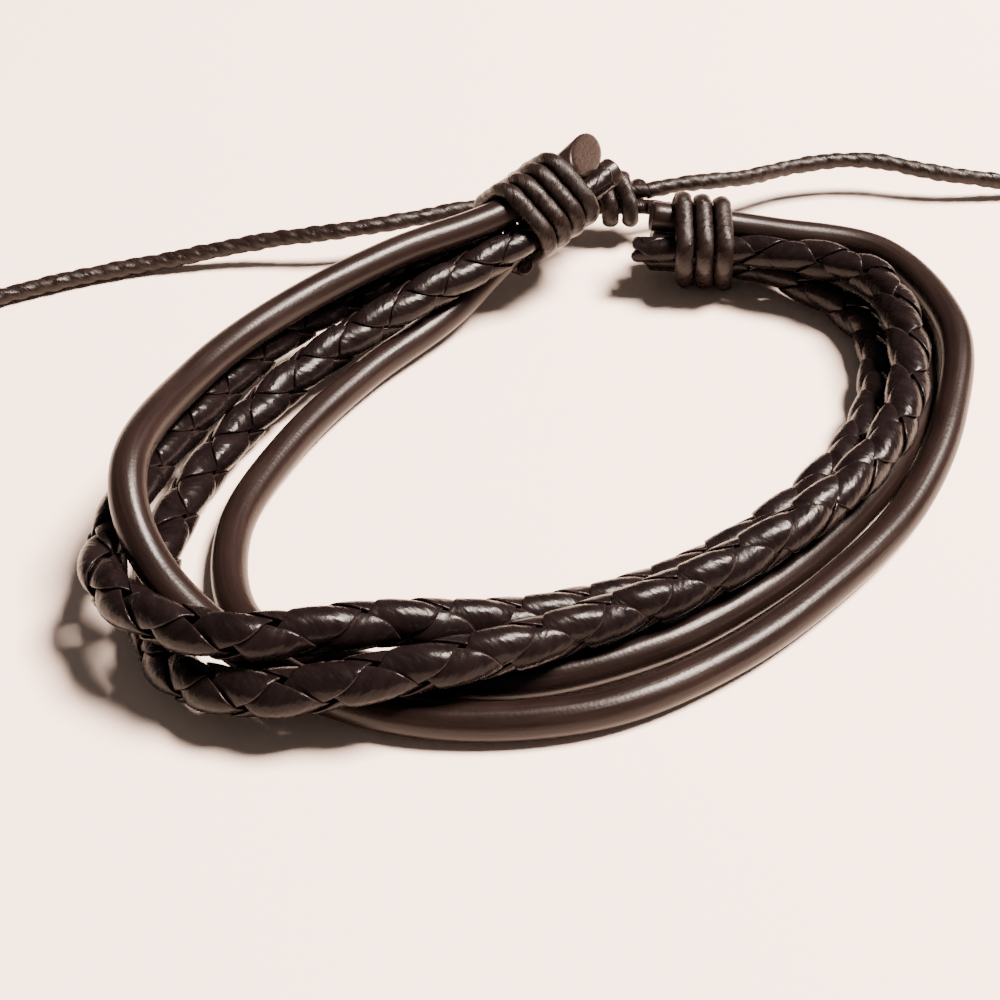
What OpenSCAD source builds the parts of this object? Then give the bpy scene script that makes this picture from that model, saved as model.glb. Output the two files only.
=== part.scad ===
// Bracelet of four leather cords: two smooth round ones, and two that are each
// plaited from four flat strips. Waxed cord binds both ends of the bundle, and
// a lead from each binding runs through a knot that slides to change the size.
// The bracelet lies on a surface at z = 0, with the origin below its middle.

/* [Leather cords] */
// Diameter of a smooth cord
smooth_d = 3; // [2.4:0.1:3]
// Diameter of a plaited cord over the crowns of its strips
plait_d = 3.8; // [3:0.1:3.8]
// Share of its size that a plaited cord keeps under a binding
squeeze = 0.8; // [0.76:0.01:0.82]
// Turn of the first plait about its own line, in degrees
plait_a_turn = 45; // [0:45:315]
// Turn of the second plait about its own line, in degrees
plait_b_turn = 90; // [0:45:315]

/* [Waxed cord] */
// Width of the waxed cord where it is wound flat
wax_w = 1.7; // [1.2:0.1:1.7]
// Thickness of the waxed cord where it is wound flat
wax_t = 1; // [0.8:0.1:1]
// Diameter of the waxed cord where it runs free
wax_d = 1.6; // [1:0.1:1.6]
// Turns of the binding at the left end
left_turns = 4; // [1:1:4]
// Distance from turn to turn of the left binding
left_pitch = 1.95; // [1.9:0.05:2.1]
// Turns of the binding at the right end
right_turns = 3; // [1:1:3]
// Distance from turn to turn of the right binding
right_pitch = 1.95; // [1.9:0.05:2.1]
// Turns of the slide knot
knot_turns = 2; // [1:1:2]
// Distance from turn to turn of the slide knot
knot_pitch = 2.1; // [1.9:0.05:2.2]

/* [Hidden] */

// Routes of the leather cords, from the cut end in the left binding to the one
// in the right binding. A row is one full turn of a plait, about 12 mm.
// Columns: x, y, height
SMOOTH_1 = [
    [3.4, 30, 12.4],
    [-5.4, 22.3, 9.9],
    [-16, 15.2, 9.6],
    [-25, 7.2, 9.1],
    [-31.5, -2.8, 9.4],
    [-34.9, -16.1, 10.6],
    [-31.7, -24.6, 6.7],
    [-22.1, -31.1, 2.5],
    [-11.2, -34.5, 1.55],
    [1, -33.7, 1.5],
    [11.5, -28.5, 1.5],
    [21, -20.4, 1.5],
    [28.9, -11.3, 1.8],
    [34.2, -0.9, 3.3],
    [36.6, 10.7, 4.7],
    [32.5, 23, 4.7],
    [21.5, 25.5, 5.6],
    [9.5, 25.6, 7.4]
];
// Columns: x, y, height
SMOOTH_2 = [
    [5.6, 31.9, 8.8],
    [-3.2, 24.1, 6],
    [-10.8, 15.6, 2.6],
    [-18.5, 6.7, 1.8],
    [-24.5, -3.3, 1.6],
    [-28, -14.3, 1.5],
    [-25.8, -24.7, 1.5],
    [-17.3, -29.4, 1.5],
    [-5, -30.7, 1.5],
    [6, -27.3, 1.5],
    [15.2, -21.1, 1.5],
    [23, -13.4, 1.5],
    [29.4, -4.5, 1.5],
    [33.8, 5, 1.5],
    [35, 15.7, 1.5],
    [30, 25.3, 1.65],
    [20.5, 27, 3],
    [10, 27.6, 4.7]
];
// Columns: x, y, height
PLAIT_A = [
    [1.2, 31.1, 10.1],
    [-7.5, 23.5, 7.5],
    [-17.5, 16, 6.1],
    [-26.2, 7.7, 5.6],
    [-31.6, -2.3, 5.5],
    [-35.5, -12.6, 5.5],
    [-35.8, -25.1, 6.5],
    [-26.4, -31.8, 7.7],
    [-14.6, -29.3, 6.2],
    [-3.5, -26.1, 3.4],
    [7, -21.2, 2],
    [16.5, -14.6, 2.3],
    [24.2, -6.2, 2.8],
    [28.7, 3.5, 2.5],
    [29.3, 14.9, 2.1],
    [21, 23.1, 2.7],
    [9.5, 25.2, 2.8]
];
// Columns: x, y, height
PLAIT_B = [
    [4.5, 28, 10.2],
    [-4.4, 20.2, 7.5],
    [-15, 12.7, 5.5],
    [-24, 5.2, 3.4],
    [-30.5, -4.8, 2],
    [-33.5, -16.8, 2],
    [-31.6, -28.9, 2.5],
    [-24, -34.3, 4.2],
    [-11.6, -33.2, 5.7],
    [-0.5, -28.7, 4.9],
    [10, -23.3, 5],
    [20, -15.9, 5.6],
    [27.6, -6.6, 5.9],
    [31.2, 4.9, 6.2],
    [30, 16.7, 6.1],
    [20, 21.8, 5.6],
    [8, 23.2, 5]
];
turn_length = 12;

// Section of a strip at the four stages of its way through the plait.
// Columns: distance from the plait's line, half width, crown, belly, tilt
STRIP = [
    [1.44, 1.41, 0.31, 0.39, 0],
    [1.25, 1.18, 0.35, 0.20, 28],
    [0.37, 0.48, 0.23, 0.33, 0],
    [1.25, 1.18, 0.35, 0.20, -28]
];
full_plait_d = 3.8;
// A strip narrows in a bend: this length over the bend's radius is what it loses
bend_loss = 2;
// Rows from a cut end over which a plait stays squeezed, and is full again
squeezed_rows = 0.9;
full_rows = 1.5;
// The side of the bundle on which the chevrons of both plaits show
chevron_side = [0, -0.74, 0.67];

rings_per_plait_row = 8;
rings_per_smooth_row = 3;
smooth_sides = 10;
pull_cord_sides = 8;
rings_per_lead_row = 3;
corner_points = 5;
knot_points = 7;
// Share of the way from corner to corner that is the arc round the corner
arc_share = 0.4;
// Section of the waxed cord in shares of its thickness and width, anticlockwise
WAX_SECTION = [[0.5, -0.25], [0.5, 0.25], [0, 0.5], [-0.5, 0.25], [-0.5, -0.25], [0, -0.5]];
// Thickness across the flats where the waxed cord is six-sided
flats_d = wax_d * cos(30);

// Space left between a cord and the waxed cord wound on it
bind_gap = 0.15;
// Columns: middle of the pack, bearing of its axis towards the knot, rise
LEFT_PACK = [[-2.4, 24.9, 8.5], 41, 13];
RIGHT_PACK = [[14.8, 24.8, 5], 174, 0];
KNOT_PACK = [[6.6, 33.7, 4.6], 0, 0];
// Half the distance between the two leads in the knot, and its slant in degrees
lead_reach = wax_d / 2 + 0.06;
lead_slant = 48;
lead_offset = lead_reach * [0, cos(lead_slant), sin(lead_slant)];
// The leads end flush with the knot's faces, where the pull cords begin
knot_half = [3.1, 0, 0];
upper_left = KNOT_PACK[0] + lead_offset - knot_half;
upper_right = KNOT_PACK[0] + lead_offset + knot_half;
lower_left = KNOT_PACK[0] - lead_offset - knot_half;
lower_right = KNOT_PACK[0] - lead_offset + knot_half;

// What each pack holds, anticlockwise about its axis.
// Columns: route, row near the pack, radius
squeezed_r = squeeze * plait_d / full_plait_d * norm([STRIP[0][0], STRIP[0][1]]);
LEFT_CORDS = [
    [PLAIT_A, 0.7, squeezed_r],
    [SMOOTH_1, 0.7, smooth_d / 2],
    [PLAIT_B, 0.7, squeezed_r],
    [SMOOTH_2, 0.7, smooth_d / 2]
];
RIGHT_CORDS = [
    [PLAIT_B, 15.4, squeezed_r],
    [SMOOTH_1, 16.4, smooth_d / 2],
    [SMOOTH_2, 16.4, smooth_d / 2],
    [PLAIT_A, 15.4, squeezed_r]
];
KNOT_CORDS = [
    [[upper_left, upper_right], 0.5, wax_d / 2],
    [[lower_left, lower_right], 0.5, wax_d / 2]
];

// Way of each lead from its binding to the knot. Columns: x, y, height
LEFT_LEAD = [
    [1, 29.6, 4.8],
    [0.9, 31.3, 5.4],
    [1.8, 33, 5.8]
];
RIGHT_LEAD = [
    [12, 30.9, 4.7],
    [11.3, 32.3, 4.2]
];

// Routes of the loose pull cords, from the knot outwards. Columns: x, y, height
LEFT_PULL = [
    lower_left,
    [0, 33.2, 3.7],
    [-4.5, 33.3, 3.7],
    [-9, 32.9, 3.9],
    [-13.5, 31.2, 4],
    [-18, 29.6, 4],
    [-22.5, 28.6, 3.8],
    [-26, 28.4, 3.4],
    [-29.5, 28.4, 2.9],
    [-33, 28.2, 2.3],
    [-36.5, 27.7, 1.8],
    [-40, 27.1, 1.3],
    [-43.5, 26.4, 1],
    [-47, 25.2, 0.9],
    [-50.5, 23.8, 0.9],
    [-54, 22.1, 0.9],
    [-57.5, 20.3, 0.9],
    [-60.5, 18.7, 0.9]
];
RIGHT_PULL = [
    upper_right,
    [13.5, 35.5, 5.3],
    [17, 36.5, 5.1],
    [20.5, 38, 4.6],
    [23.5, 39.9, 4.2],
    [26.5, 41.5, 4],
    [30, 42.5, 4],
    [33, 42.9, 4],
    [36.5, 42.8, 3.8],
    [40, 42, 3.4],
    [43.5, 41.5, 3],
    [47, 41.5, 2.5],
    [50.5, 41.7, 1.9],
    [54, 41.8, 1.3],
    [57, 41.8, 0.9]
];

function unit(v) = v / norm(v);

// A route with one more row before and behind it, as the curve through it needs
function extended(route) =
    let (last = len(route) - 1)
    concat([2 * route[0] - route[1]], route, [2 * route[last] - route[last - 1]]);

// The four rows around place u on an extended route, counted in rows
function rows_at(rows, u) =
    let (i = min(max(floor(u), 0), len(rows) - 4))
    [rows[i], rows[i + 1], rows[i + 2], rows[i + 3], u - i];

function point_at(rows, u) =
    let (r = rows_at(rows, u), t = r[4])
    0.5 * (2 * r[1] + t * (r[2] - r[0])
        + t * t * (2 * r[0] - 5 * r[1] + 4 * r[2] - r[3])
        + t * t * t * (3 * r[1] - r[0] - 3 * r[2] + r[3]));

// How far and which way the route goes per row
function pace_at(rows, u) =
    let (r = rows_at(rows, u), t = r[4])
    0.5 * (r[2] - r[0]
        + 2 * t * (2 * r[0] - 5 * r[1] + 4 * r[2] - r[3])
        + 3 * t * t * (3 * r[1] - r[0] - 3 * r[2] + r[3]));

function way_at(rows, u) = unit(pace_at(rows, u));

// The direction square to a cord that looks towards the given side
function facing(side, way) = unit(side - (side * way) * way);

// A ring of points round a place, counted anticlockwise seen from ahead
function round_ring(place, way, d, sides) =
    let (up = facing([0, 0, 1], way), side = cross(way, up))
    [for (i = [0:sides - 1]) place + d / 2 * (cos(360 * i / sides) * up + sin(360 * i / sides) * side)];

// How sharply a route bends at place u, as one over the radius of the bend
function bend_at(rows, u) =
    let (behind = max(u - 0.25, 0), ahead = min(u + 0.25, len(rows) - 3))
    norm(way_at(rows, ahead) - way_at(rows, behind)) / (0.5 * turn_length);

// How much of its size a plait has at place u of its n rows
function fullness(u, n) =
    let (from_end = min(u, n - u))
    let (share = min(max((from_end - squeezed_rows) / (full_rows - squeezed_rows), 0), 1))
    (squeeze + (1 - squeeze) * share) * plait_d / full_plait_d;

// The section of one strip: hand is 1 or -1, turn is where it starts
function strip_ring(rows, u, hand, turn) =
    let (
        way = way_at(rows, u),
        front = facing(chevron_side, way),
        side = cross(way, front),
        across = (side + front) / sqrt(2),
        along = (side - front) / sqrt(2),
        angle = 360 * u + turn,
        outward = cos(angle) * across + hand * sin(angle) * along,
        around = cos(angle) * along - hand * sin(angle) * across,
        stage = ((angle + 90 - 90 * max(hand, 0)) % 180) / 45,
        i = floor(stage),
        shape = STRIP[i] + (stage - i) * (STRIP[(i + 1) % 4] - STRIP[i]),
        size = fullness(u, len(rows) - 3),
        strip = size * (1 - bend_loss * bend_at(rows, u)),
        slope = atan(2 * PI * shape[0] * size / turn_length),
        flat = cos(slope) * around - hand * sin(slope) * way,
        tilt = -hand * shape[4],
        wide = strip * (cos(tilt) * flat + sin(tilt) * outward),
        thick = strip * (cos(tilt) * outward - sin(tilt) * flat),
        middle = point_at(rows, u) + size * shape[0] * outward
    )
    [
        middle - shape[1] * wide,
        middle - shape[1] / 2 * wide + shape[2] * thick,
        middle + shape[1] / 2 * wide + shape[2] * thick,
        middle + shape[1] * wide,
        middle - shape[3] * thick
    ];

// A closed solid through rings of equal size, with the four-sided fields cut
// along one diagonal or the other
module skin(rings, other_diagonal = false) {
    m = len(rings[0]);
    last = m * (len(rings) - 1);
    polyhedron(
        points = [for (ring = rings) each ring],
        faces = concat(
            [[for (j = [0:m - 1]) j]],
            [for (k = [0:m:last - m], j = [0:m - 1])
                let (a = k + j, b = k + (j + 1) % m)
                other_diagonal ? [a, b + m, b] : [a, a + m, b]],
            [for (k = [0:m:last - m], j = [0:m - 1])
                let (a = k + j, b = k + (j + 1) % m)
                other_diagonal ? [a, a + m, b + m] : [b, a + m, b + m]],
            [[for (j = [m - 1:-1:0]) last + j]]
        )
    );
}

module smooth_cord(route) {
    rows = extended(route);
    count = rings_per_smooth_row * (len(route) - 1);
    color("#5a4038")
        skin([for (k = [0:count])
            let (u = k / rings_per_smooth_row)
            round_ring(point_at(rows, u), way_at(rows, u), smooth_d, smooth_sides)]);
}

// Strips 1 and 2 wind one way, strips 3 and 4 the other
module plait_strand(route, plait_turn, number) {
    rows = extended(route);
    count = rings_per_plait_row * (len(route) - 1);
    hand = number < 3 ? 1 : -1;
    start = plait_turn + 180 * (number % 2);
    color("#3c2c2b")
        skin([for (k = [0:count]) strip_ring(rows, k / rings_per_plait_row, hand, start)], hand < 0);
}

// Axis, side and rise of a pack of cords
function axis_of(pack) = [cos(pack[1]) * cos(pack[2]), sin(pack[1]) * cos(pack[2]), sin(pack[2])];
function side_of(pack) = [-sin(pack[1]), cos(pack[1]), 0];
function rise_of(pack) = cross(axis_of(pack), side_of(pack));

// Row at which a route crosses the plane at distance s along a pack's axis,
// found from a row nearby in a few steps
function crossing(rows, pack, s, u, steps = 4) =
    let (miss = s - (point_at(rows, u) - pack[0]) * axis_of(pack))
    steps == 0 ? u : crossing(rows, pack, s, u + miss / (pace_at(rows, u) * axis_of(pack)), steps - 1);

// A pack's cords in the plane at distance s. Columns: to the side, up, radius
function corners_at(pack, cords, s) = [
    for (cord = cords)
        let (
            rows = extended(cord[0]),
            place = point_at(rows, crossing(rows, pack, s, cord[1])) - pack[0]
        )
        [place * side_of(pack), place * rise_of(pack), cord[2]]
];

// Bearing at which a winding leaves corner i for the next one
function leaving(corners, i) =
    let (
        a = corners[i % len(corners)],
        b = corners[(i + 1) % len(corners)],
        gap = [b[0] - a[0], b[1] - a[1]]
    )
    atan2(gap[1], gap[0]) - 90 + asin((a[2] - b[2]) / norm(gap));

// The same bearing, counted on past another one, so that a winding turns forward
function past(bearing, other) = bearing < other ? past(bearing + 360, other) : bearing;

// One place of a winding at distance s: which corner it is at, and how far
// round it from 0 to 1. Columns: point, outward direction, width, thickness
function wound(pack, cords, s, i, share) =
    let (
        corners = corners_at(pack, cords, s),
        first = leaving(corners, i + len(corners) - 1),
        last = past(leaving(corners, i), first),
        bearing = first + share * (last - first),
        outward = cos(bearing) * side_of(pack) + sin(bearing) * rise_of(pack),
        corner = corners[i % len(corners)],
        middle = pack[0] + s * axis_of(pack) + corner[0] * side_of(pack) + corner[1] * rise_of(pack)
    )
    [middle + (corner[2] + bind_gap + wax_t / 2) * outward, outward, wax_w, wax_t];

// The places of a winding that begins and ends at the same corner. It goes on
// part of the way round that corner, to where the lead leaves it.
function winding(pack, cords, turns, pitch, corner, points) =
    let (steps = len(cords) * turns, step = pitch / len(cords), start = -turns * pitch / 2)
    concat(
        [for (q = [0:steps - 1], k = [0:points - 1])
            let (share = k / (points - 1))
            wound(pack, cords, start + (q + arc_share * share) * step, corner + q, share)],
        [for (share = [0, 0.25, 0.5])
            wound(pack, cords, start + (steps + arc_share * share) * step, corner + steps, share)]
    );

// A lead from the end of a winding over its route into the knot and through it
function lead(places, route, entry, exit, up) =
    let (
        begin = places[len(places) - 1],
        rows = extended(concat([begin[0]], route, [entry])),
        count = rings_per_lead_row * (len(route) + 1)
    )
    concat(
        places,
        [for (k = [1:count])
            let (share = min(k / rings_per_lead_row, 1))
            [point_at(rows, k / rings_per_lead_row), begin[1] + share * (up - begin[1]), wax_d, flats_d]],
        [[exit, up, wax_d, flats_d]]
    );

// The flattened hexagon of waxed cord at place k
function wax_ring(places, k) =
    let (
        here = places[k],
        before = places[max(k - 1, 0)],
        behind = places[min(k + 1, len(places) - 1)],
        arriving = k > 0 ? unit(here[0] - before[0]) : unit(behind[0] - here[0]),
        going = k < len(places) - 1 ? unit(behind[0] - here[0]) : arriving,
        way = unit(arriving + going),
        out = facing(here[1], way),
        side = cross(way, out)
    )
    [for (p = WAX_SECTION) here[0] + p[0] * here[3] * out + p[1] * here[2] * side];

module waxed(places) {
    color("#6b5a52")
        skin([for (k = [0:len(places) - 1]) wax_ring(places, k)]);
}

module pull_cord(route, first_way) {
    rows = extended(route);
    color("#5c4c46")
        skin([for (k = [0:len(route) - 1])
            round_ring(route[k], k == 0 ? first_way : way_at(rows, k), wax_d, pull_cord_sides)]);
}

module smooth_cord_1() {
    smooth_cord(SMOOTH_1);
}

module smooth_cord_2() {
    smooth_cord(SMOOTH_2);
}

module braid_a_strand(number) {
    plait_strand(PLAIT_A, plait_a_turn, number);
}

module braid_b_strand(number) {
    plait_strand(PLAIT_B, plait_b_turn, number);
}

module left_binding() {
    turns = winding(LEFT_PACK, LEFT_CORDS, left_turns, left_pitch, 3, corner_points);
    waxed(lead(turns, LEFT_LEAD, upper_left, upper_right, [0, 0, -1]));
}

module right_binding() {
    turns = winding(RIGHT_PACK, RIGHT_CORDS, right_turns, right_pitch, 2, corner_points);
    waxed(lead(turns, RIGHT_LEAD, lower_right, lower_left, [0, 0, 1]));
}

module slide_knot() {
    waxed(winding(KNOT_PACK, KNOT_CORDS, knot_turns, knot_pitch, 0, knot_points));
}

module left_pull_cord() {
    pull_cord(LEFT_PULL, [-1, 0, 0]);
}

module right_pull_cord() {
    pull_cord(RIGHT_PULL, [1, 0, 0]);
}

smooth_cord_1();
smooth_cord_2();
braid_a_strand(1);  // braid_a_strand_1
braid_a_strand(2);  // braid_a_strand_2
braid_a_strand(3);  // braid_a_strand_3
braid_a_strand(4);  // braid_a_strand_4
braid_b_strand(1);  // braid_b_strand_1
braid_b_strand(2);  // braid_b_strand_2
braid_b_strand(3);  // braid_b_strand_3
braid_b_strand(4);  // braid_b_strand_4
left_binding();
right_binding();
slide_knot();
left_pull_cord();
right_pull_cord();
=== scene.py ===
import math

import bmesh
import bpy
import numpy as np
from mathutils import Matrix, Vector


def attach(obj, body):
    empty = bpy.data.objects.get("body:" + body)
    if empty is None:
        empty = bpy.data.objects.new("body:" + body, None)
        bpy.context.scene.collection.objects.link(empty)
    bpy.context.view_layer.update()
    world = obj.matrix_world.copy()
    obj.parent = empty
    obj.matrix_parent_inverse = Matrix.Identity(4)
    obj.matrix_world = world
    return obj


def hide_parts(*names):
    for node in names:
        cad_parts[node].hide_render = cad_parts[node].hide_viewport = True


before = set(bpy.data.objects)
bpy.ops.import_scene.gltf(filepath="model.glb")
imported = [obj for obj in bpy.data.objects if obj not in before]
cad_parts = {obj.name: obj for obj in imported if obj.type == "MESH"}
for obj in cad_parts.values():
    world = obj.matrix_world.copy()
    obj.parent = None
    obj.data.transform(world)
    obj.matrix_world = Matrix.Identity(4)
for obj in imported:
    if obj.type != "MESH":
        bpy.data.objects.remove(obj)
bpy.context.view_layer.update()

# Camera
# It looks down on the bracelet from the front, at 42 degrees and from a little
# over a hand's length away. Sizes are in metres.
look_at = Vector((-0.0059, -0.0088, 0))
view_distance = 0.13
view_elevation = math.radians(42)
toward_camera = Vector((0, -math.cos(view_elevation), math.sin(view_elevation)))

camera_data = bpy.data.cameras.new("camera")
camera_data.sensor_width = 36
camera_data.lens = 54
camera_data.clip_start = 0.005
camera = bpy.data.objects.new("camera", camera_data)
camera.location = look_at + view_distance * toward_camera
camera.rotation_euler = (math.pi / 2 - view_elevation, 0, 0)
bpy.context.scene.collection.objects.link(camera)
bpy.context.scene.camera = camera

# Loose pull cords
# Two tails of waxed cotton cord, twisted from three plies, that the wearer
# pulls to tighten the bracelet. Each comes out of the slide knot as the far
# end of the other side's lead, and lies loose on the surface.
waxed_d = 0.0016
waxed_r = 0.47 * waxed_d
ply_lay = 0.0052
waxed_rim = 0.0002
pull_per_row = 14
slow_wear, slow_rate = 0.035, 900
fine_wear, fine_rate = 0.03, 2100
left_pull_route = [
    (0.0035, 0.0331, 0.0040), (0.0000, 0.0332, 0.0037), (-0.0045, 0.0333, 0.0037),
    (-0.0090, 0.0329, 0.0039), (-0.0135, 0.0312, 0.0040), (-0.0180, 0.0296, 0.0040),
    (-0.0225, 0.0286, 0.0038), (-0.0260, 0.0284, 0.0034), (-0.0295, 0.0284, 0.0029),
    (-0.0330, 0.0282, 0.0023), (-0.0365, 0.0277, 0.0018), (-0.0400, 0.0271, 0.0013),
    (-0.0435, 0.0264, 0.0010), (-0.0470, 0.0252, 0.0009), (-0.0505, 0.0238, 0.0009),
    (-0.0540, 0.0221, 0.0009), (-0.0575, 0.0203, 0.0009), (-0.0605, 0.0187, 0.0009)]
right_pull_route = [
    (0.0097, 0.0343, 0.0052), (0.0135, 0.0355, 0.0053), (0.0170, 0.0365, 0.0051),
    (0.0205, 0.0380, 0.0046), (0.0235, 0.0399, 0.0042), (0.0265, 0.0415, 0.0040),
    (0.0300, 0.0425, 0.0040), (0.0330, 0.0429, 0.0040), (0.0365, 0.0428, 0.0038),
    (0.0400, 0.0420, 0.0034), (0.0435, 0.0415, 0.0030), (0.0470, 0.0415, 0.0025),
    (0.0505, 0.0417, 0.0019), (0.0540, 0.0418, 0.0013), (0.0570, 0.0418, 0.0009)]


def unit(v):
    return v / np.linalg.norm(v, axis=-1, keepdims=True)


def smooth_line(route, per_row):
    """Points on the smooth curve through a route's rows, and the row of each."""
    rows = np.array(route, float)
    rows = np.vstack([2 * rows[0] - rows[1], rows, 2 * rows[-1] - rows[-2]])
    count = per_row * (len(rows) - 3)
    at = np.arange(count + 1) / per_row
    i = np.minimum(at.astype(int), len(rows) - 4)
    t = (at - i)[:, None]
    a, b, c, d = rows[i], rows[i + 1], rows[i + 2], rows[i + 3]
    square, cube = 2 * a - 5 * b + 4 * c - d, 3 * b - a - 3 * c + d
    return 0.5 * (2 * b + t * (c - a) + t**2 * square + t**3 * cube), at


def ways_along(points):
    """The cord's direction at each of its points."""
    return unit(np.gradient(points, axis=0))


def facing(side, ways):
    """The direction square to the cord that is nearest to the given side."""
    side = np.broadcast_to(np.asarray(side, float), ways.shape)
    return unit(side - (side * ways).sum(1, keepdims=True) * ways)


def distance_along(points):
    steps = np.linalg.norm(np.diff(points, axis=0), axis=1)
    return np.concatenate([[0], np.cumsum(steps)])


def rings_of(points, thick, half_width, crown, lay=None):
    """One ring of a cord for each point: its directions, sizes and twist."""
    ways = ways_along(points)
    thick = facing(thick, ways)
    along = distance_along(points)
    one = np.ones(len(points))
    return {
        "place": points, "wide": np.cross(thick, ways), "thick": thick,
        "half_width": half_width * one, "crown": crown * one, "belly": crown * one, "curl": 0 * one,
        "along": along, "turned": 2 * math.pi * along / lay if lay else 0 * one, "cut": 0 * one}


# Each step from a cord's rim to the middle of its cut: how deep it lies in the
# rounding, its size as a share of the cord's, and whether it is on the cut face.
cut_steps = ((0.35, 0.97, 0), (0.05, 0.9, 0), (0, 0.82, 1), (0, 0.45, 1), (0.02, 0.03, 1))


def cut_square(rings, rounding):
    """Closes both ends of a cord as a cut does: a rounded rim and a flat face."""
    closed = {key: [value] for key, value in rings.items()}
    for end, step in ((0, 1), (-1, -1)):
        inward = unit(rings["place"][end + step] - rings["place"][end])
        lip = []
        for depth, size, cut in cut_steps:
            ring = {key: value[end] for key, value in rings.items()}
            ring["place"] = ring["place"] + (depth - 1) * rounding * inward
            for key in ("half_width", "crown", "belly"):
                ring[key] = ring[key] * size
            ring["cut"] = cut
            lip.append(ring)
        if end == 0:
            lip.reverse()
        for key in closed:
            block = np.array([ring[key] for ring in lip])
            closed[key] = [block] + closed[key] if end == 0 else closed[key] + [block]
    return {key: np.concatenate(value) for key, value in closed.items()}


def fill(tree, socket, value):
    """Links a socket to another node's output, or gives it a fixed value."""
    if isinstance(value, bpy.types.NodeSocket):
        tree.links.new(value, socket)
    elif value is not None:
        socket.default_value = value


def added(tree, kind, inputs=(), **settings):
    """A new node with its settings made and the named inputs filled."""
    made = tree.nodes.new(kind)
    for key, value in settings.items():
        setattr(made, key, value)
    for key, value in dict(inputs).items():
        fill(tree, made.inputs[key], value)
    return made


def sums(tree, operation, *values, kind="ShaderNodeMath"):
    """A sum worked out on the values in their order, numbers or vectors."""
    made = added(tree, kind, operation=operation)
    for socket, value in zip(made.inputs, values):
        fill(tree, socket, value)
    return made.outputs[0]


def vectors(tree, operation, *values):
    return sums(tree, operation, *values, kind="ShaderNodeVectorMath")


def cord_tree():
    """Draws a skin over the rings of a cord: round or flat, plied or creased."""
    tree = bpy.data.node_groups.new("cord over its rings", "GeometryNodeTree")
    tree.interface.new_socket("Geometry", in_out="OUTPUT", socket_type="NodeSocketGeometry")
    for name, kind in (
            ("Geometry", "Geometry"), ("Sides", "Int"), ("Plies", "Float"), ("Ply depth", "Float"),
            ("Edge power", "Float"), ("Crown power", "Float"), ("Crease depth", "Float"),
            ("Crease scale", "Vector"), ("Seed", "Float"), ("Material", "Material")):
        tree.interface.new_socket(name, in_out="INPUT", socket_type="NodeSocket" + kind)
    given = added(tree, "NodeGroupInput").outputs

    def kept(name, kind="FLOAT"):
        named = added(tree, "GeometryNodeInputNamedAttribute", {"Name": name}, data_type=kind)
        return named.outputs["Attribute"]

    def of(operation, *values):
        return sums(tree, operation, *values)

    def times(first, *others):
        for other in others:
            first = of("MULTIPLY", first, other)
        return first

    def along_way(name, by):
        made = added(tree, "ShaderNodeVectorMath", {
            "Vector": kept(name, "FLOAT_VECTOR"), "Scale": by}, operation="SCALE")
        return made.outputs[0]

    # The circle only gives the tube its sides. Every point gets its place below.
    centre_line = added(tree, "GeometryNodeMeshToCurve", {"Mesh": given["Geometry"]}).outputs[0]
    circle = added(tree, "GeometryNodeCurvePrimitiveCircle", {
        "Resolution": given["Sides"], "Radius": 0.001}).outputs[0]
    tube = added(tree, "GeometryNodeCurveToMesh", {
        "Curve": centre_line, "Profile Curve": circle, "Fill Caps": True}).outputs[0]

    corner = of("MODULO", added(tree, "GeometryNodeInputIndex").outputs[0], given["Sides"])
    bearing = of("DIVIDE", times(corner, 2 * math.pi), given["Sides"])
    across = of("COSINE", bearing)
    up = of("SINE", bearing)
    twisted = of("SUBTRACT", bearing, kept("turned"))
    lobe = of("ABSOLUTE", of("COSINE", times(twisted, given["Plies"])))
    plump = of("MULTIPLY_ADD", lobe, given["Ply depth"], 1)

    above = of("GREATER_THAN", up, 0)
    below = of("SUBTRACT", 1, above)
    height = of("ADD", times(above, kept("crown")), times(below, kept("belly")))
    narrowed = of("POWER", of("ABSOLUTE", across), given["Edge power"])
    inside = of("MAXIMUM", of("SUBTRACT", 1, narrowed), 0)
    arch = times(of("POWER", inside, given["Crown power"]), of("SIGN", up))

    straight = added(tree, "ShaderNodeCombineXYZ", {
        "X": times(of("COSINE", twisted), kept("half_width")),
        "Y": times(of("SINE", twisted), kept("half_width")),
        "Z": kept("along")}).outputs[0]
    crease = added(tree, "ShaderNodeTexNoise", {
        "Vector": vectors(tree, "MULTIPLY", straight, given["Crease scale"]),
        "W": given["Seed"], "Scale": 1.0, "Detail": 2.0, "Roughness": 0.55},
        noise_dimensions="4D").outputs[0]
    whole = of("SUBTRACT", 1, kept("cut"))
    lift = times(of("SUBTRACT", crease, 0.5), given["Crease depth"], whole, arch)

    broad = times(kept("half_width"), across, plump)
    drop = times(broad, broad, kept("curl"))
    high = of("SUBTRACT", of("ADD", times(height, arch, plump), lift), drop)
    off_line = vectors(tree, "ADD", along_way("wide", broad), along_way("thick", high))
    place = vectors(tree, "ADD", kept("place", "FLOAT_VECTOR"), off_line)

    skin = tube
    for name, value, kind in (
            ("straight", straight, "FLOAT_VECTOR"), ("edge", of("ABSOLUTE", across), "FLOAT"),
            ("valley", of("SUBTRACT", 1, lobe), "FLOAT")):
        skin = added(tree, "GeometryNodeStoreNamedAttribute", {
            "Geometry": skin, "Name": name, "Value": value}, data_type=kind, domain="POINT").outputs[0]
    for kind, inputs in (
            ("GeometryNodeSetPosition", {"Position": place}), ("GeometryNodeSetShadeSmooth", {}),
            ("GeometryNodeRealizeInstances", {}),
            ("GeometryNodeSetMaterial", {"Material": given["Material"]})):
        skin = added(tree, kind, {"Geometry": skin, **inputs}).outputs[0]
    added(tree, "NodeGroupOutput", {"Geometry": skin})
    return tree


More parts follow.
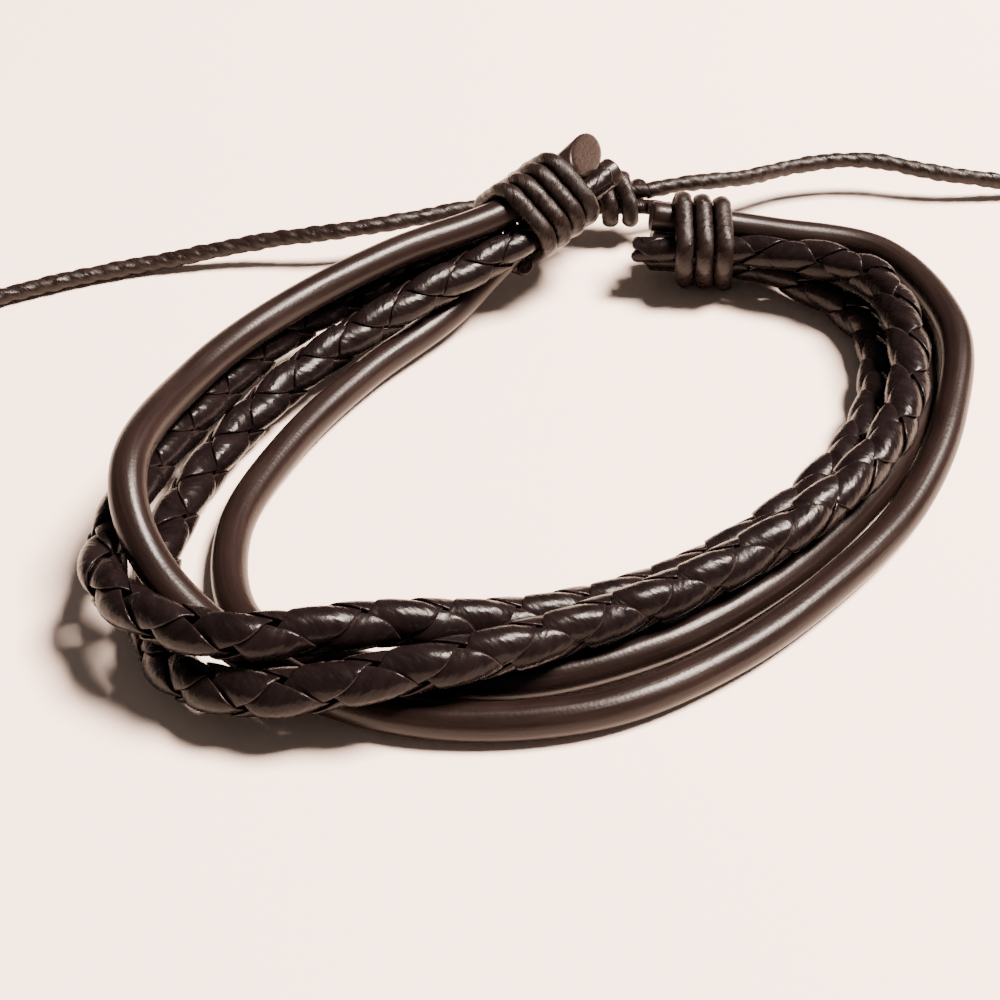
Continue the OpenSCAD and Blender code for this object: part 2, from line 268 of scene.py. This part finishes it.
cord_skin = cord_tree()
skin_inputs = {
    item.name: item.identifier for item in cord_skin.interface.items_tree if item.in_out == "INPUT"}


def drawn(name, rings, finish, **choices):
    """A finished cord or strip as a plain mesh with its faces turned outwards."""
    count = len(rings["place"])
    line = bpy.data.meshes.new(name)
    line.from_pydata(rings["place"].tolist(), [(k, k + 1) for k in range(count - 1)], [])
    for key, values in rings.items():
        kind, field = ("FLOAT_VECTOR", "vector") if values.ndim == 2 else ("FLOAT", "value")
        stored = line.attributes.new(key, kind, "POINT")
        stored.data.foreach_set(field, values.astype(np.float32).ravel())
    piece = bpy.data.objects.new(name, line)
    bpy.context.scene.collection.objects.link(piece)
    modifier = piece.modifiers.new("skin", "NODES")
    modifier.node_group = cord_skin
    # An edge power of 2 with a crown power of a half makes the cord round.
    settings = {
        "Plies": 0.0, "Ply depth": 0.0, "Edge power": 2.0, "Crown power": 0.5,
        "Material": finish, **choices}
    for key, value in settings.items():
        modifier[skin_inputs[key]] = value
    bpy.context.view_layer.update()
    shown = piece.evaluated_get(bpy.context.evaluated_depsgraph_get())
    skin = bpy.data.meshes.new_from_object(shown)
    piece.modifiers.remove(modifier)
    piece.data = skin
    bpy.data.meshes.remove(line)
    for key in ("place", "wide", "thick"):
        skin.attributes.remove(skin.attributes[key])
    work = bmesh.new()
    work.from_mesh(skin)
    if work.calc_volume(signed=True) < 0:
        bmesh.ops.reverse_faces(work, faces=work.faces)
    work.to_mesh(skin)
    work.free()
    return piece


def new_finish(name, base, roughness, specular):
    """A plain surface of one colour, roughness and gloss to build a finish on."""
    finish = bpy.data.materials.new(name)
    finish.use_nodes = True
    tree = finish.node_tree
    surface = tree.nodes["Principled BSDF"].inputs
    surface["Base Color"].default_value = (*base, 1)
    surface["Roughness"].default_value = roughness
    surface["Specular IOR Level"].default_value = specular
    return finish, tree, surface


def noise(tree, where, scale, detail, roughness, squeeze=None):
    if squeeze:
        where = vectors(tree, "MULTIPLY", where, squeeze)
    return added(tree, "ShaderNodeTexNoise", {
        "Vector": where, "Scale": scale, "Detail": detail, "Roughness": roughness}).outputs[0]


def ramp(tree, value, low, high, to_low=0.0, to_high=1.0):
    return added(tree, "ShaderNodeMapRange", {
        "Value": value, "From Min": low, "From Max": high,
        "To Min": to_low, "To Max": to_high}).outputs[0]


def blended(tree, share, first, second):
    """The first colour, changed by that share to the second."""
    made = added(tree, "ShaderNodeMix", data_type="RGBA")
    fill(tree, made.inputs["Factor"], share)
    for key, value in (("A", first), ("B", second)):
        socket = next(s for s in made.inputs if s.name == key and s.type == "RGBA")
        fill(tree, socket, (*value, 1) if isinstance(value, tuple) else value)
    return next(s for s in made.outputs if s.type == "RGBA")


def bumped(tree, height, strength, distance, under=None):
    """A surface direction roughened by that height, over the one beneath it."""
    return added(tree, "ShaderNodeBump", {
        "Height": height, "Strength": strength, "Distance": distance, "Normal": under}).outputs[0]


def own_place(tree, name="straight"):
    """A place as if the cord lay straight, or one of the values kept on its skin."""
    made = added(tree, "ShaderNodeAttribute", attribute_name=name)
    return made.outputs["Vector" if name == "straight" else "Fac"]


def waxed_finish():
    """Dark brown cotton under wax: fibres along the plies, shiny clots of wax, painted shade between
    the plies.
    """
    finish, tree, surface = new_finish(
        "waxed_cotton", base=(0.012, 0.007, 0.006), roughness=0.45, specular=0.16)
    dark_fibre, pale_fibre = (0.0035, 0.0020, 0.0017), (0.013, 0.0082, 0.0070)
    faded, painted_ply_shade = (0.009, 0.0058, 0.0048), (0.003, 0.0018, 0.0015)
    where = own_place(tree)
    fibres = noise(tree, where, scale=1000, detail=4, roughness=0.6, squeeze=(6.0, 6.0, 0.8))
    clots = noise(tree, where, scale=900, detail=3, roughness=0.6)
    patches = noise(tree, where, scale=260, detail=2, roughness=0.5)
    faded_share = ramp(tree, patches, low=0.35, high=0.7, to_high=0.5)
    # Painted shade: the grooves between the plies are coloured darker than the plies.
    ply_shade_share = ramp(tree, own_place(tree, "valley"), low=0.55, high=1.0, to_high=0.75)
    colour = blended(tree, ramp(tree, fibres, low=0.3, high=0.7), dark_fibre, pale_fibre)
    colour = blended(tree, faded_share, colour, faded)
    colour = blended(tree, ply_shade_share, colour, painted_ply_shade)
    fill(tree, surface["Base Color"], colour)
    fill(tree, surface["Roughness"], ramp(tree, clots, low=0.35, high=0.65, to_low=0.5, to_high=0.22))
    rough = bumped(tree, fibres, strength=0.5, distance=0.00012)
    waxy = bumped(tree, clots, strength=0.6, distance=0.00022, under=rough)
    fill(tree, surface["Normal"], waxy)
    return finish


waxed_cotton = waxed_finish()
waxed_skin = {"Sides": 30, "Plies": 1.5}


def pull_cord(name, node, route, seed):
    """A loose tail along its route, a little thicker and thinner where it is worn."""
    points, _ = smooth_line(route, pull_per_row)
    up = facing((0, 0, 1), ways_along(points))
    along = distance_along(points)
    slow = slow_wear * np.sin(along * slow_rate + seed)
    fine = fine_wear * np.sin(along * fine_rate + 2 * seed)
    worn_r = waxed_r * (1 + slow + fine)
    rings = rings_of(points, up, worn_r, worn_r, lay=ply_lay)
    cord = drawn(name, cut_square(rings, waxed_rim), waxed_cotton, **waxed_skin, **{
        "Ply depth": 0.16, "Crease depth": 0.0002, "Crease scale": (900.0, 900.0, 350.0),
        "Seed": float(seed)})
    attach(cord, "root")
    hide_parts(node)


pull_cord("loose_pull_cord_left", "left_pull_cord", left_pull_route, 1)
pull_cord("loose_pull_cord_right", "right_pull_cord", right_pull_route, 2)

# Smooth leather cords
# Two round cords of cowhide, drawn through a die and dyed dark brown, with a
# satin surface. They run the whole way round and are cut off at both bindings,
# one of them on the slant, where its end is a little swollen.
MM = 0.001
smooth_d = 0.003
smooth_rim = 0.00025
smooth_per_row = 24
slant_length = 0.005
slant_toward = (0.2, -0.85, 0.45)
slant_lean = 1.7
slant_swell = 0.3
slant_shorter_by = 2
smooth_1_route = MM * np.array([
    (3.4, 30, 12.4), (-5.4, 22.3, 9.9), (-16, 15.2, 9.6), (-25, 7.2, 9.1), (-31.5, -2.8, 9.4),
    (-34.9, -16.1, 10.6), (-31.7, -24.6, 6.7), (-22.1, -31.1, 2.5), (-11.2, -34.5, 1.55),
    (1, -33.7, 1.5), (11.5, -28.5, 1.5), (21, -20.4, 1.5), (28.9, -11.3, 1.8), (34.2, -0.9, 3.3),
    (36.6, 10.7, 4.7), (32.5, 23, 4.7), (21.5, 25.5, 5.6), (9.5, 25.6, 7.4)])
smooth_2_route = MM * np.array([
    (5.6, 31.9, 8.8), (-3.2, 24.1, 6), (-10.8, 15.6, 2.6), (-18.5, 6.7, 1.8), (-24.5, -3.3, 1.6),
    (-28, -14.3, 1.5), (-25.8, -24.7, 1.5), (-17.3, -29.4, 1.5), (-5, -30.7, 1.5), (6, -27.3, 1.5),
    (15.2, -21.1, 1.5), (23, -13.4, 1.5), (29.4, -4.5, 1.5), (33.8, 5, 1.5), (35, 15.7, 1.5),
    (30, 25.3, 1.65), (20.5, 27, 3), (10, 27.6, 4.7)])


def smooth_finish():
    """Dyed and polished cowhide: mottled dye, fine grain, reddish at the cut."""
    finish, tree, surface = new_finish(
        "smooth_cowhide", base=(0.008, 0.005, 0.0045), roughness=0.35, specular=0.16)
    dark_dye, pale_dye = (0.0058, 0.0031, 0.0027), (0.0108, 0.0064, 0.0056)
    streak = (0.014, 0.0080, 0.0066)
    dark_cut, pale_cut = (0.0060, 0.0026, 0.0021), (0.0115, 0.0054, 0.0044)
    where = own_place(tree)
    dye = noise(tree, where, scale=420, detail=4, roughness=0.6, squeeze=(1.0, 1.0, 0.35))
    grain = noise(tree, where, scale=5200, detail=3, roughness=0.6)
    pores = added(tree, "ShaderNodeTexVoronoi", {"Vector": where, "Scale": 3400.0}).outputs[0]
    streaks = noise(tree, where, scale=900, detail=3, roughness=0.5, squeeze=(3.0, 3.0, 0.12))
    colour = blended(tree, ramp(tree, dye, low=0.3, high=0.7), dark_dye, pale_dye)
    colour = blended(tree, ramp(tree, streaks, low=0.5, high=0.8, to_high=0.5), colour, streak)
    cut_colour = blended(tree, ramp(tree, grain, low=0.35, high=0.65), dark_cut, pale_cut)
    colour = blended(tree, own_place(tree, "cut"), colour, cut_colour)
    fill(tree, surface["Base Color"], colour)
    fill(tree, surface["Roughness"], ramp(tree, streaks, low=0.3, high=0.7, to_low=0.25, to_high=0.36))
    fine = bumped(tree, pores, strength=0.18, distance=0.00004)
    soft = bumped(tree, streaks, strength=0.3, distance=0.00008, under=fine)
    fill(tree, surface["Normal"], soft)
    return finish


smooth_cowhide = smooth_finish()


def cut_on_the_slant(rings):
    """Leans a cord's first end so that its cut faces one way, and swells it a little."""
    share = np.clip(1 - rings["along"] / slant_length, 0, 1)
    ways = ways_along(rings["place"])
    for key in ("wide", "thick"):
        facing_share = (rings[key] @ np.array(slant_toward))[:, None]
        rings[key] = rings[key] + slant_lean * share[:, None] * facing_share * ways
    for key in ("half_width", "crown", "belly"):
        rings[key] = rings[key] * (1 + slant_swell * share)
    return rings


for number, route in ((1, smooth_1_route), (2, smooth_2_route)):
    slanted = number == 1
    points, _ = smooth_line(route, smooth_per_row)
    if slanted:
        points = points[slant_shorter_by:]
    up = facing((0, 0, 1), ways_along(points))
    rings = rings_of(points, up, smooth_d / 2, smooth_d / 2)
    if slanted:
        rings = cut_on_the_slant(rings)
    cord = drawn(f"round_leather_cord_{number}", cut_square(rings, smooth_rim), smooth_cowhide, **{
        "Sides": 36, "Crease depth": 0.00012, "Crease scale": (250.0, 250.0, 110.0),
        "Seed": float(number + 2)})
    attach(cord, "root")
    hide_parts(f"smooth_cord_{number}")

# Plaited leather cords
# Two round plaits of four flat leather strips each, two that wind one way and
# two the other, over and under, dyed nearly black and waxed. The creased
# strips catch the light, and a plait's strips are pressed in at its ends.
turn_length = 0.012
strip_rim = 0.00012
strip_per_row = 48
chevron_side = (0, -0.74, 0.67)

# At the right, both plaits turn about their own line within these rows.
twist_from, twist_rows = 9.8, 2.4
twist_turn = math.radians(-60)

plait_a_route = MM * np.array([
    (1.2, 31.1, 10.1), (-7.5, 23.5, 7.5), (-17.5, 16, 6.1), (-26.2, 7.7, 5.6), (-31.6, -2.3, 5.5),
    (-35.5, -12.6, 5.5), (-35.8, -25.1, 6.5), (-26.4, -31.8, 7.7), (-14.6, -29.3, 6.2),
    (-3.5, -26.1, 3.4), (7, -21.2, 2), (16.5, -14.6, 2.3), (24.2, -6.2, 2.8), (28.7, 3.5, 2.5),
    (29.3, 14.9, 2.1), (21, 23.1, 2.7), (9.5, 25.2, 2.8)])
plait_b_route = MM * np.array([
    (4.5, 28, 10.2), (-4.4, 20.2, 7.5), (-15, 12.7, 5.5), (-24, 5.2, 3.4), (-30.5, -4.8, 2),
    (-33.5, -16.8, 2), (-31.6, -28.9, 2.5), (-24, -34.3, 4.2), (-11.6, -33.2, 5.7),
    (-0.5, -28.7, 4.9), (10, -23.3, 5), (20, -15.9, 5.6), (27.6, -6.6, 5.9), (31.2, 4.9, 6.2),
    (30, 16.7, 6.1), (20, 21.8, 5.6), (8, 23.2, 5)])

# A strip's sizes in MM, and how much each grows where the strip passes over
# another: how far out its middle lies, its half width and its outer thickness.
# It curls by so much per metre, tilts by up to so many degrees, and gets
# narrower where the plait bends.
strip_reach, reach_over, reach_ripple = 1.34, 0.37, 0.025
strip_half, half_over = 1.62, 0.42
strip_crown, crown_over = 0.23, 0.06
strip_belly = 0.45
strip_curl = 190
strip_tilt = 5
angle_sway = 0.14
bend_loss = 0.002
bend_reach = 12

# Near a plait's ends, in rows from the end: where the binding presses it to a
# share of its size, and where its strips close up to each other.
pressed_to = 0.8
pressed_from, pressed_rows = 0.9, 0.6
closing_from, closing_rows = 0.5, 0.3
closed_over, closed_belly, closed_curl = 0.8, 0.6, 60


def strip_finish():
    """Nearly black waxed leather: creases, a gloss that breaks up, edges paler from wear and from a
    painted highlight.
    """
    finish, tree, surface = new_finish(
        "strip_leather", base=(0.004, 0.0023, 0.0021), roughness=0.3, specular=0.1)
    dark_fold, pale_fold = (0.0030, 0.0018, 0.0019), (0.0062, 0.0040, 0.0042)
    crease, fray_and_edge_highlight, cut = (0.0095, 0.0066, 0.0066), (0.030, 0.019, 0.017), (0.016, 0.009, 0.0075)
    where = own_place(tree)
    creases = noise(tree, where, scale=1500, detail=3, roughness=0.5, squeeze=(0.7, 0.7, 1.3))
    folds = noise(tree, where, scale=620, detail=2, roughness=0.5, squeeze=(0.5, 0.5, 1.4))
    grain = noise(tree, where, scale=6500, detail=2, roughness=0.6)
    edge_wear_and_glints = noise(tree, where, scale=700, detail=2, roughness=0.5)
    # Pale marks along the strips' edges, broken up along them: partly paler worn cut edges, partly a
    # painted highlight where the edges catch the light.
    edge = ramp(tree, own_place(tree, "edge"), low=0.95, high=1.0)
    frayed_and_highlit_share = sums(tree, "MULTIPLY", edge, ramp(tree, edge_wear_and_glints, low=0.45, high=0.6, to_high=0.5))
    colour = blended(tree, ramp(tree, folds, low=0.3, high=0.7), dark_fold, pale_fold)
    colour = blended(tree, ramp(tree, creases, low=0.55, high=0.8, to_high=0.6), colour, crease)
    colour = blended(tree, frayed_and_highlit_share, colour, fray_and_edge_highlight)
    colour = blended(tree, own_place(tree, "cut"), colour, cut)
    fill(tree, surface["Base Color"], colour)
    fill(tree, surface["Roughness"], ramp(tree, creases, low=0.3, high=0.7, to_low=0.36, to_high=0.18))
    deep = bumped(tree, folds, strength=0.6, distance=0.00025)
    fine = bumped(tree, creases, strength=0.5, distance=0.0001, under=deep)
    tiny = bumped(tree, grain, strength=0.2, distance=0.00002, under=fine)
    fill(tree, surface["Normal"], tiny)
    return finish


strip_leather = strip_finish()


def strip_rings(route, turn, hand, start):
    """Rings of one strip on its way over and under the others round the plait."""
    line, row = smooth_line(route, strip_per_row)
    ways = ways_along(line)
    front = facing(chevron_side, ways)
    side = np.cross(ways, front)
    part = np.clip((row - twist_from) / twist_rows, 0, 1)
    twist = (twist_turn * part * part * (3 - 2 * part))[:, None]
    front, side = (
        np.cos(twist) * front + np.sin(twist) * side, np.cos(twist) * side - np.sin(twist) * front)
    across, along = (side + front) / math.sqrt(2), (side - front) / math.sqrt(2)

    angle = np.radians(360 * row + turn + start)
    stage = 2 * (angle + (0 if hand > 0 else math.pi / 2))
    angle = (angle - angle_sway * np.sin(stage))[:, None]
    outward = np.cos(angle) * across + hand * np.sin(angle) * along
    around = np.cos(angle) * along - hand * np.sin(angle) * across
    over, twice = np.cos(stage), np.cos(2 * stage)

    near_end = np.minimum(row, row[-1] - row)
    size = pressed_to + (1 - pressed_to) * np.clip((near_end - pressed_from) / pressed_rows, 0, 1)
    closed = np.clip((closing_from - near_end) / closing_rows, 0, 1)
    over = over * (1 - closed_over * closed)
    bend = np.linalg.norm(np.gradient(ways, axis=0), axis=1) * strip_per_row / turn_length
    window = 2 * bend_reach + 1
    bend = np.convolve(np.pad(bend, bend_reach, mode="edge"), np.ones(window) / window, mode="valid")
    slimmed = size * (1 - bend_loss * bend)

    reach = MM * (strip_reach + reach_over * over - reach_ripple * twice) * size
    slope = np.arctan(2 * math.pi * reach / turn_length)[:, None]
    flat = np.cos(slope) * around - hand * np.sin(slope) * ways
    tilt = -hand * np.radians(strip_tilt * np.sin(stage))[:, None]
    middle = line + reach[:, None] * outward
    return {
        "place": middle,
        "wide": np.cos(tilt) * flat + np.sin(tilt) * outward,
        "thick": np.cos(tilt) * outward - np.sin(tilt) * flat,
        "half_width": MM * (strip_half + half_over * over) * slimmed,
        "crown": MM * (strip_crown + crown_over * over) * slimmed,
        "belly": MM * (strip_belly + closed_belly * closed) * slimmed,
        "curl": (strip_curl + closed_curl * closed) / size,
        "along": distance_along(middle), "turned": 0 * row, "cut": 0 * row}


for letter, route, turn in (("a", plait_a_route, 45), ("b", plait_b_route, 90)):
    for number in (1, 2, 3, 4):
        hand = 1 if number < 3 else -1
        rings = strip_rings(route, turn, hand, start=180 * (number % 2))
        strip = drawn(f"plait_{letter}_strip_{number}", cut_square(rings, strip_rim), strip_leather, **{
            "Sides": 22, "Edge power": 3.4, "Crown power": 0.55, "Crease depth": 0.00014,
            "Crease scale": (600.0, 600.0, 750.0), "Seed": float(10 * number + (letter == "b"))})
        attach(strip, "root")
        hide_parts(f"braid_{letter}_strand_{number}")

# Bindings
# Waxed cord is wound tightly round all four leather cords, four turns at the
# left and three at the right, which presses it flat. Each winding's end leaves
# it as the lead that runs through the slide knot, and is round again there.
wound_w = 0.00168
wound_t = 0.00125
wound_gap = 0.00005
wound_pitch = 0.00195
wound_skin = {
    **waxed_skin, "Ply depth": 0.07, "Crease depth": 0.00014, "Crease scale": (700.0, 700.0, 300.0)}
squeezed_r = 0.00155
pack_reach = 0.013
corner_gain = 0.4
knot_middle = np.array((6.6, 33.7, 4.6))
knot_half = np.array((3.1, 0, 0))
lead_apart = 0.86
lead_bearing = math.radians(48)
lead_offset = lead_apart * np.array((0, math.cos(lead_bearing), math.sin(lead_bearing)))
lead_per_row = 10
through_points = 14


class Pack:
    """Cords side by side round an axis: where a winding touches each of them."""

    def __init__(self, middle, bearing, rise, cords):
        b, r = math.radians(bearing), math.radians(rise)
        self.middle = MM * np.array(middle)
        self.axis = np.array((math.cos(b) * math.cos(r), math.sin(b) * math.cos(r), math.sin(r)))
        self.side = np.array((-math.sin(b), math.cos(b), 0))
        self.up = np.cross(self.axis, self.side)
        self.cords = []
        for points, radius in cords:
            far = (points - self.middle) @ self.axis
            near = np.linalg.norm(points - self.middle, axis=1) < pack_reach
            order = np.argsort(far[near])
            self.cords.append((far[near][order], points[near][order], radius))

    def corners(self, s):
        """Each cord's centre and radius in the plane at that place on the axis."""
        found = []
        for far, points, radius in self.cords:
            place = np.array([np.interp(s, far, points[:, k]) for k in range(3)]) - self.middle
            found.append((place @ self.side, place @ self.up, radius))
        return found

    def leaving(self, corners, i):
        """The bearing at which a tight cord leaves corner i for the next one."""
        a, b = corners[i % len(corners)], corners[(i + 1) % len(corners)]
        gap = (b[0] - a[0], b[1] - a[1])
        return math.atan2(gap[1], gap[0]) - math.pi / 2 + math.asin((a[2] - b[2]) / math.hypot(*gap))

    def touched(self, s, i, share, lift):
        """The winding's middle and outward direction at corner i, in a plane."""
        corners = self.corners(s)
        first = self.leaving(corners, i + len(corners) - 1)
        last = self.leaving(corners, i)
        while last < first:
            last += 2 * math.pi
        bearing = first + share * (last - first)
        outward = math.cos(bearing) * self.side + math.sin(bearing) * self.up
        corner = corners[i % len(corners)]
        middle = self.middle + s * self.axis + corner[0] * self.side + corner[1] * self.up
        return middle + (corner[2] + lift) * outward, outward


def wound_round(pack, turns, pitch, first_corner, arc_points):
    """Centre line and outward directions of a winding of so many turns.

    It goes round the cords' corners, and runs straight from each to the next.
    """
    places, outward = [], []
    lift = wound_gap + wound_t / 2
    stretch_points = 8
    corners = len(pack.cords)
    step = pitch / corners
    start = -turns * pitch / 2
    for q in range(corners * turns + 1):
        # The winding ends halfway round its last corner.
        halfway = q == corners * turns
        for share in np.linspace(0, 0.5, 5) if halfway else np.linspace(0, 1, arc_points):
            at = start + (q + corner_gain * share) * step
            place, out = pack.touched(at, first_corner + q, share, lift)
            if share == 0 and places:
                for k in range(1, stretch_points):
                    t = k / stretch_points
                    places.append(left_place + t * (place - left_place))
                    outward.append(left_out + t * (out - left_out))
            places.append(place)
            outward.append(out)
        left_place, left_out = place, out
    return np.array(places), unit(np.array(outward))


def binding(name, node, pack, turns, first_corner, lead, entry, leaving, up, seed):
    """A winding, and its lead over the given places into the knot and through."""
    places, outward = wound_round(pack, turns, wound_pitch, first_corner, arc_points=9)
    line, row = smooth_line(np.vstack([places[-1], MM * np.array(lead), MM * entry]), lead_per_row)
    through = np.linspace(MM * entry, MM * leaving, through_points)[1:]
    share = np.clip(row, 0, 1)[1:, None]
    lead_out = (1 - share) * outward[-1] + share * np.array(up)
    points = np.vstack([places, line[1:], through])
    thick = np.vstack([outward, lead_out, np.tile(np.array(up, float), (len(through), 1))])
    rounded = np.concatenate([np.zeros(len(places)), np.clip(row[1:], 0, 1), np.ones(len(through))])
    half_width = (1 - rounded) * wound_w / 2 + rounded * waxed_r
    crown = (1 - rounded) * wound_t / 2 + rounded * waxed_r
    rings = rings_of(points, thick, half_width, crown, lay=ply_lay)
    cord = drawn(name, cut_square(rings, waxed_rim), waxed_cotton, **wound_skin, Seed=float(seed))
    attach(cord, "root")
    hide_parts(node)


lines = {key: smooth_line(route, smooth_per_row)[0] for key, route in (
    ("1", smooth_1_route), ("2", smooth_2_route), ("a", plait_a_route), ("b", plait_b_route))}
two_rows = 2 * smooth_per_row
left_part = {key: line[:two_rows] for key, line in lines.items()}
right_part = {key: line[-two_rows:] for key, line in lines.items()}
left_pack = Pack(middle=(-2.4, 24.9, 8.5), bearing=41, rise=13, cords=[
    (left_part["a"], squeezed_r), (left_part["1"], smooth_d / 2),
    (left_part["b"], squeezed_r), (left_part["2"], smooth_d / 2)])
right_pack = Pack(middle=(14.8, 24.8, 5), bearing=174, rise=0, cords=[
    (right_part["b"], squeezed_r), (right_part["1"], smooth_d / 2),
    (right_part["2"], smooth_d / 2), (right_part["a"], squeezed_r)])
binding("binding_left", "left_binding", left_pack, turns=4, first_corner=3,
        lead=[(1, 29.6, 4.8), (0.9, 31.3, 5.4), (1.8, 33, 5.8)],
        entry=knot_middle + lead_offset - knot_half, leaving=knot_middle + lead_offset + knot_half,
        up=(0, 0, -1), seed=5)
binding("binding_right", "right_binding", right_pack, turns=3, first_corner=2,
        lead=[(12, 30.9, 4.7), (11.3, 32.3, 4.2)],
        entry=knot_middle - lead_offset + knot_half, leaving=knot_middle - lead_offset - knot_half,
        up=(0, 0, 1), seed=6)

# Slide knot
# Two more turns of the same waxed cord, tied round both leads. They grip the
# leads firmly enough to hold, and slide when both pull cords are pulled. The
# cord's end is tucked in between the leads.
knot_pitch = 0.0021
tuck_length = 0.0022
tuck_depth = 0.0014
knot_turns = 2
lead_points = 24
leads = [np.linspace(
    MM * (knot_middle + sign * lead_offset - 2 * knot_half),
    MM * (knot_middle + sign * lead_offset + 2 * knot_half), lead_points) for sign in (1, -1)]
knot_pack = Pack(knot_middle, bearing=0, rise=0, cords=[(lead, waxed_d / 2) for lead in leads])
places, outward = wound_round(knot_pack, knot_turns, knot_pitch, first_corner=0, arc_points=15)
far = distance_along(places)
tucked = np.clip((far - far[-1]) / tuck_length + 1, 0, 1)[:, None]
places = places - tuck_depth * tucked * tucked * outward
rings = rings_of(places, outward, wound_w / 2, wound_t / 2, lay=ply_lay)
knot = drawn("slide_knot_turns", cut_square(rings, waxed_rim), waxed_cotton, **wound_skin, Seed=7.0)
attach(knot, "root")
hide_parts("slide_knot")

# Surface and light
# A pale, warm matt surface without an edge in view, and one soft light above
# the bracelet, a little behind it and to the right.
half_side = 1.5
floor_mesh = bpy.data.meshes.new("floor")
floor_mesh.from_pydata(
    [(half_side * x, half_side * y, 0) for x, y in ((-1, -1), (1, -1), (1, 1), (-1, 1))],
    [], [(0, 1, 2, 3)])
floor = bpy.data.objects.new("floor", floor_mesh)
bpy.context.scene.collection.objects.link(floor)
paper, paper_tree, paper_surface = new_finish(
    "paper", base=(0.9, 0.74, 0.64), roughness=0.8, specular=0.1)
dull_paper, bright_paper = (0.89, 0.73, 0.63), (0.91, 0.75, 0.65)
paper_place = added(paper_tree, "ShaderNodeTexCoord").outputs["Object"]
mottling = noise(paper_tree, paper_place, scale=30, detail=2, roughness=0.55)
fill(paper_tree, paper_surface["Base Color"], blended(paper_tree, mottling, dull_paper, bright_paper))
floor_mesh.materials.append(paper)

world = bpy.data.worlds.new("soft surroundings")
world.use_nodes = True
surroundings = world.node_tree.nodes["Background"].inputs
surroundings["Color"].default_value = (1.0, 0.90, 0.86, 1)
surroundings["Strength"].default_value = 0.135
bpy.context.scene.world = world

lamp_distance = 0.9
lamp_azimuth = math.radians(14)
lamp_elevation = math.radians(60)
lamp_data = bpy.data.lights.new("overhead light", "AREA")
lamp_data.shape = "SQUARE"
lamp_data.size = 0.28
lamp_data.energy = 67.0
lamp_data.color = (1.0, 0.83, 0.73)
lamp = bpy.data.objects.new("overhead light", lamp_data)
lamp.location = lamp_distance * Vector((
    math.cos(lamp_azimuth) * math.cos(lamp_elevation),
    math.sin(lamp_azimuth) * math.cos(lamp_elevation), math.sin(lamp_elevation)))
lamp.rotation_euler = (-lamp.location).to_track_quat("-Z", "Y").to_euler()
bpy.context.scene.collection.objects.link(lamp)
